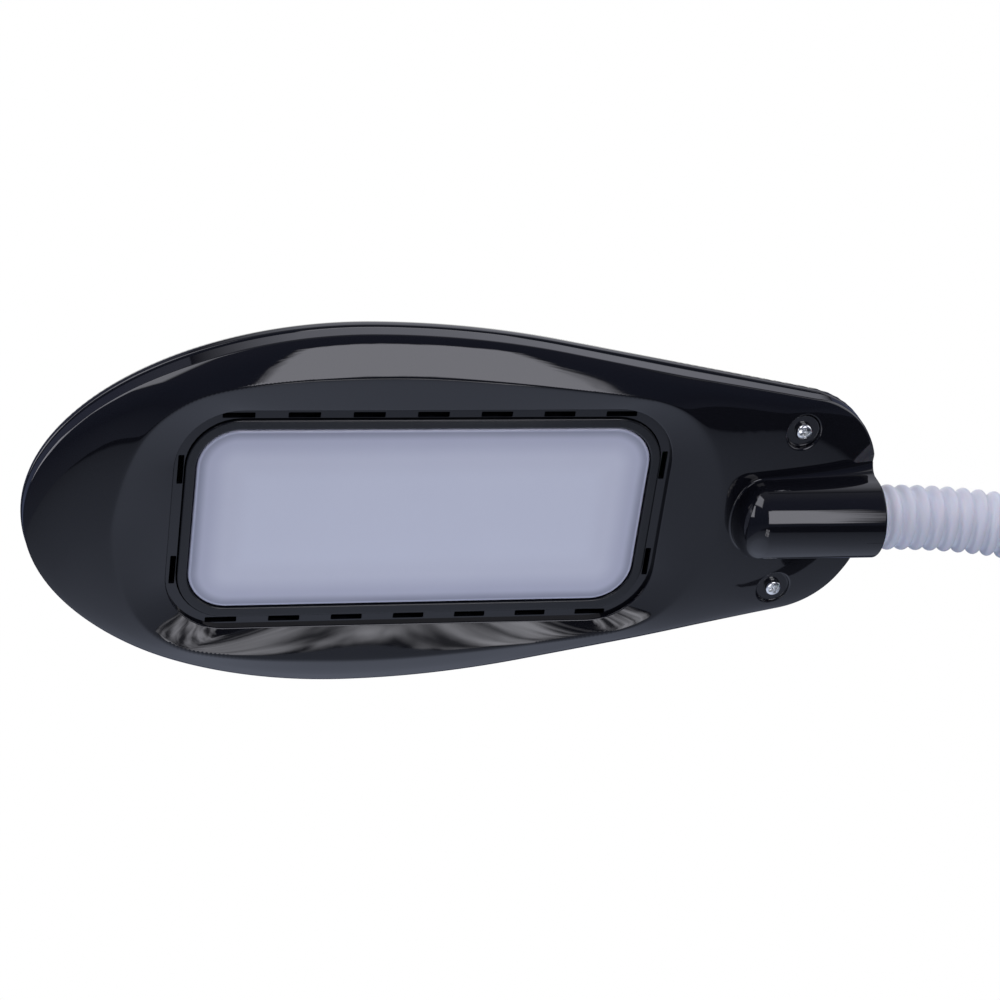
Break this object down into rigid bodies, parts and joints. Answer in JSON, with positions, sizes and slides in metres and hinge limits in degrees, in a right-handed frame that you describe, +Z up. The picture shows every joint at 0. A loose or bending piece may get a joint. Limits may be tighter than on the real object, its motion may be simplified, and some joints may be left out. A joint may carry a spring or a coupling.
{
  "type": "picture light",
  "caption": "Gooseneck picture light: a flat leaf-shaped LED head on a bendable corrugated neck, with a plate that screws to the back of a frame.",
  "frame": {"origin": "middle of the mounting plate's contact face", "axes": "+Z up; +Y out of the plate's contact face, towards the picture frame it is screwed to; the head hangs off to -X with its lit face looking to -Y and 30.4 degrees down"},
  "size_m": [0.393, 0.1247, 0.3301],
  "materials": {
    "gloss_black": "high-gloss black moulding",
    "satin_black": "satin black moulding",
    "diffuser": "milky lilac-white diffuser",
    "clear_acrylic": "clear sheet",
    "white_sheet": "white film and board",
    "green_board": "green circuit board",
    "neck_white": "soft off-white corrugated sleeve",
    "cable": "black cable jacket",
    "spring_steel": "wound steel",
    "bright_steel": "zinc-plated steel",
    "aluminium": "mill finish",
    "black_metal": "black powder coat"
  },
  "bodies": {
    "base": {"mount_plate": "black_metal", "neck_socket": "gloss_black", "lower_ferrule": "bright_steel", "dc_inlet": "satin_black", "set_screw": "bright_steel", "plate_screw_1": "bright_steel", "plate_screw_2": "bright_steel", "neck_core_1": "spring_steel", "neck_sleeve_1": "neck_white", "neck_lead_1": "cable"},
    "neck_1": {"neck_core_2": "spring_steel", "neck_sleeve_2": "neck_white", "neck_lead_2": "cable"},
    "neck_2": {"neck_core_3": "spring_steel", "neck_sleeve_3": "neck_white", "neck_lead_3": "cable"},
    "neck_3": {"neck_core_4": "spring_steel", "neck_sleeve_4": "neck_white", "neck_lead_4": "cable"},
    "neck_4": {"neck_core_5": "spring_steel", "neck_sleeve_5": "neck_white", "neck_lead_5": "cable"},
    "head": {"front_shell": "gloss_black", "rear_cover": "gloss_black", "panel_frame": "gloss_black", "diffuser": "diffuser", "light_guide": "clear_acrylic", "reflector_sheet": "white_sheet", "back_plate": "aluminium", "led_strip_upper": "white_sheet", "led_strip_lower": "white_sheet", "driver_board": "green_board", "led_wire_upper": "cable", "led_wire_lower": "cable", "head_lead": "cable", "neck_clamp": "bright_steel", "upper_ferrule": "bright_steel", "shell_screw_1": "bright_steel", "shell_screw_2": "bright_steel", "frame_screw_1": "bright_steel", "frame_screw_2": "bright_steel", "frame_screw_3": "bright_steel", "frame_screw_4": "bright_steel", "clamp_screw_1": "bright_steel", "clamp_screw_2": "bright_steel", "board_screw_1": "bright_steel", "board_screw_2": "bright_steel", "neck_core_6": "spring_steel"},
    "button": {"power_button": "satin_black"}
  },
  "joints": [
    {"name": "neck_lean", "type": "hinge", "parent": "base", "child": "neck_1", "pos_m": [-0.00081, -0.01567, 0.07796], "axis": [0, 1, 0], "range_deg": [-30, 30], "deforming": ["neck_sleeve_1", "neck_lead_1"]},
    {"name": "neck_sway", "type": "hinge", "parent": "neck_1", "child": "neck_2", "pos_m": [-0.00533, -0.00911, 0.12726], "axis": [0.9894, 0.0286, 0.1421], "range_deg": [-30, 30], "deforming": ["neck_sleeve_2", "neck_lead_2"]},
    {"name": "neck_curl", "type": "hinge", "parent": "neck_2", "child": "neck_3", "pos_m": [-0.01668, 0.00439, 0.1739], "axis": [-0.5753, -0.8111, 0.1058], "range_deg": [-30, 20], "deforming": ["neck_sleeve_3", "neck_lead_3"]},
    {"name": "neck_swing", "type": "hinge", "parent": "neck_3", "child": "neck_4", "pos_m": [-0.04027, 0.0249, 0.21247], "axis": [-0.7003, 0.0138, -0.7137], "range_deg": [-30, 30], "deforming": ["neck_sleeve_4", "neck_lead_4"]},
    {"name": "head_tilt", "type": "hinge", "parent": "neck_4", "child": "head", "pos_m": [-0.07975, 0.04501, 0.23447], "axis": [-0.0829, -0.7662, 0.6373], "range_deg": [-30, 20], "deforming": ["neck_sleeve_5", "neck_lead_5"]},
    {"name": "button_press", "type": "slide", "parent": "head", "child": "button", "axis": [0, -0.8625, -0.506], "range_m": [0, 0.0005], "stiffness_N_per_m": 1500, "springref_m": -0.0005}
  ]
}
